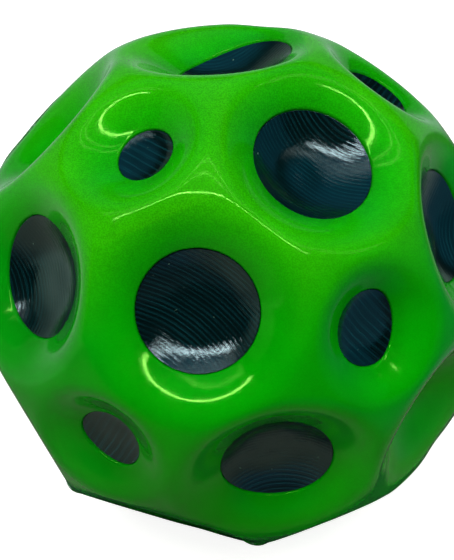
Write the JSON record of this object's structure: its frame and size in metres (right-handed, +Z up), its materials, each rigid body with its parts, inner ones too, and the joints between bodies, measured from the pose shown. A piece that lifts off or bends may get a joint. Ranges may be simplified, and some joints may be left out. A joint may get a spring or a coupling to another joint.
{
  "type": "bouncy ball",
  "caption": "Cratered high-bounce ball: a foam core under a glossy moulded skin of round dished craters, each with a dark glossy floor, parted at a thin flash line.",
  "frame": {"origin": "centre of the ball, which is the centre of its bounding box", "axes": "+Z up as the ball lies, on the rim of a large crater; -Y is the front, the side the picture shows; the mould's parting plane passes through the origin, square to (0, -0.816, 0.577)"},
  "size_m": [0.0654, 0.0648, 0.0604],
  "materials": {
    "skin": "thick glossy green coat with a fine orange-peel grain",
    "floor": "dark navy gloss with fine parallel tool lines",
    "foam": "matt moulded foam, hidden"
  },
  "bodies": {
    "root": {"foam_core": "foam", "upper_skin": "skin", "lower_skin": "skin", "large_floor_01": "floor", "large_floor_02": "floor", "large_floor_03": "floor", "large_floor_04": "floor", "large_floor_05": "floor", "large_floor_06": "floor", "large_floor_07": "floor", "large_floor_08": "floor", "large_floor_09": "floor", "large_floor_10": "floor", "large_floor_11": "floor", "large_floor_12": "floor", "large_floor_13": "floor", "large_floor_14": "floor", "large_floor_15": "floor", "large_floor_16": "floor", "large_floor_17": "floor", "large_floor_18": "floor", "large_floor_19": "floor", "large_floor_20": "floor", "small_floor_01": "floor", "small_floor_02": "floor", "small_floor_03": "floor", "small_floor_04": "floor", "small_floor_05": "floor", "small_floor_06": "floor", "small_floor_07": "floor", "small_floor_08": "floor", "small_floor_09": "floor", "small_floor_10": "floor", "small_floor_11": "floor", "small_floor_12": "floor"}
  },
  "joints": []
}
